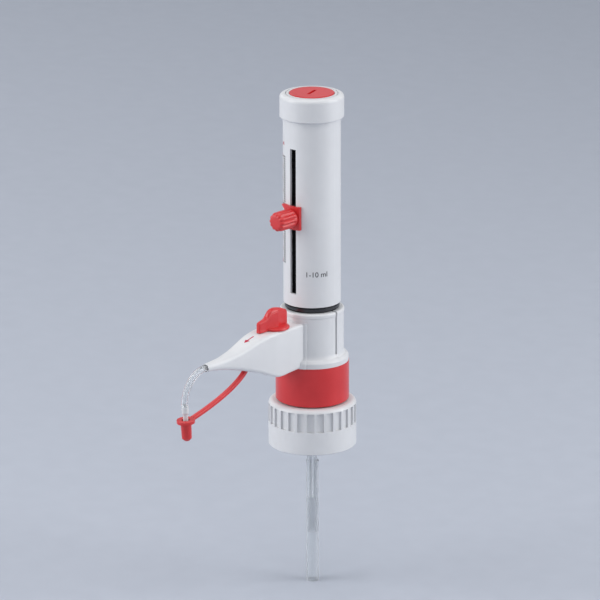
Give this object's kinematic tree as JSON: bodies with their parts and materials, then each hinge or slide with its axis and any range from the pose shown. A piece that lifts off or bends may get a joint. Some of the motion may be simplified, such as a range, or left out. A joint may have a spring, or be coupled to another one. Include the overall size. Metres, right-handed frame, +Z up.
{
  "type": "bottle-top dispenser",
  "caption": "Bottle-top piston dispenser with a sliding volume stop, recirculation valve, outlet tube on an arm and a screw collar for a reagent bottle.",
  "frame": {"origin": "centre of the bottle nut's lower face, where the bottle's neck enters", "axes": "+Z up along the pump and the bottle thread, -Y along the outlet arm, +X to the right seen from the outlet side"},
  "size_m": [0.054, 0.1468, 0.3115],
  "materials": {
    "white_plastic": "moulded white plastic, satin",
    "red_plastic": "moulded red plastic, satin",
    "natural_plastic": "unpigmented plastic",
    "black_plastic": "black plastic",
    "glass": "clear borosilicate glass",
    "clear_tube": "clear fluoropolymer tube",
    "fluoropolymer": "white fluoropolymer, matt",
    "steel": "stainless steel",
    "seal_rubber": "black elastomer",
    "valve_ball": "polished borosilicate glass"
  },
  "bodies": {
    "nut": {"threaded_nut": "white_plastic", "bottle_seal": "fluoropolymer"},
    "valve_body": {"valve_block": "natural_plastic", "red_collar": "red_plastic", "cover_front": "white_plastic", "cover_rear": "white_plastic", "cylinder_seal": "seal_rubber", "glass_cylinder": "glass", "cylinder_jacket": "clear_tube", "guide_sleeve": "black_plastic", "filling_valve": "natural_plastic", "filling_valve_ring": "seal_rubber", "filling_valve_seat": "fluoropolymer", "ball_retainer": "natural_plastic", "filling_tube_upper": "clear_tube", "recirculation_tube": "clear_tube", "arm_housing": "white_plastic", "valve_bush": "fluoropolymer", "discharge_seat": "fluoropolymer", "discharge_tube": "clear_tube", "discharge_tip": "natural_plastic", "cap_strap": "red_plastic"},
    "intake_ball": {"filling_ball": "valve_ball"},
    "outlet_ball": {"discharge_ball": "valve_ball"},
    "dip_tube": {"filling_tube_lower": "clear_tube"},
    "recirculation_valve": {"recirculation_knob": "red_plastic", "valve_plug": "fluoropolymer", "plug_ring": "seal_rubber"},
    "closure": {"closure_cap": "red_plastic"},
    "housing": {"housing_sleeve": "white_plastic", "top_cap": "white_plastic", "rod_head": "natural_plastic", "piston_rod": "fluoropolymer", "piston": "fluoropolymer", "piston_seal": "fluoropolymer"},
    "calibration_dial": {"calibration_disc": "red_plastic", "calibration_screw": "steel"},
    "volume_slider": {"slider_carriage": "red_plastic", "clamp_plate": "steel"},
    "slider_clamp": {"clamp_knob": "red_plastic", "clamp_stud": "steel"}
  },
  "joints": [
    {"name": "body_swivel", "type": "hinge", "parent": "nut", "child": "valve_body", "pos_m": [0, 0, 0], "axis": [0, 0, 1], "continuous": true},
    {"name": "housing_slide", "type": "slide", "parent": "valve_body", "child": "housing", "axis": [0, 0, 1], "range_m": [0, 0.0731]},
    {"name": "volume_slide", "type": "slide", "parent": "housing", "child": "volume_slider", "axis": [0, 0, 1], "range_m": [-0.0364, 0.0294]},
    {"name": "clamp_turn", "type": "hinge", "parent": "volume_slider", "child": "slider_clamp", "pos_m": [0, -0.02, 0.1472], "axis": [0, -1, 0], "range_deg": [-360, 0]},
    {"name": "calibration_turn", "type": "hinge", "parent": "housing", "child": "calibration_dial", "pos_m": [0, 0, 0.22], "axis": [0, 0, 1], "range_deg": [-180, 180]},
    {"name": "recirculation_turn", "type": "hinge", "parent": "valve_body", "child": "recirculation_valve", "pos_m": [0, -0.0345, 0.08], "axis": [0, 0, 1], "range_deg": [0, 90]},
    {"name": "cap_swing", "type": "hinge", "parent": "valve_body", "child": "closure", "pos_m": [0, -0.0985, 0.0445], "axis": [1, 0, 0], "range_deg": [0, 80], "deforming": ["cap_strap"]},
    {"name": "intake_ball_lift", "type": "slide", "parent": "valve_body", "child": "intake_ball", "axis": [0, 0, 1], "range_m": [0, 0.001]},
    {"name": "outlet_ball_lift", "type": "slide", "parent": "valve_body", "child": "outlet_ball", "axis": [0, 0, 1], "range_m": [0, 0.001]},
    {"name": "tube_extend", "type": "slide", "parent": "valve_body", "child": "dip_tube", "axis": [0, 0, -1], "range_m": [0, 0.035]}
  ]
}
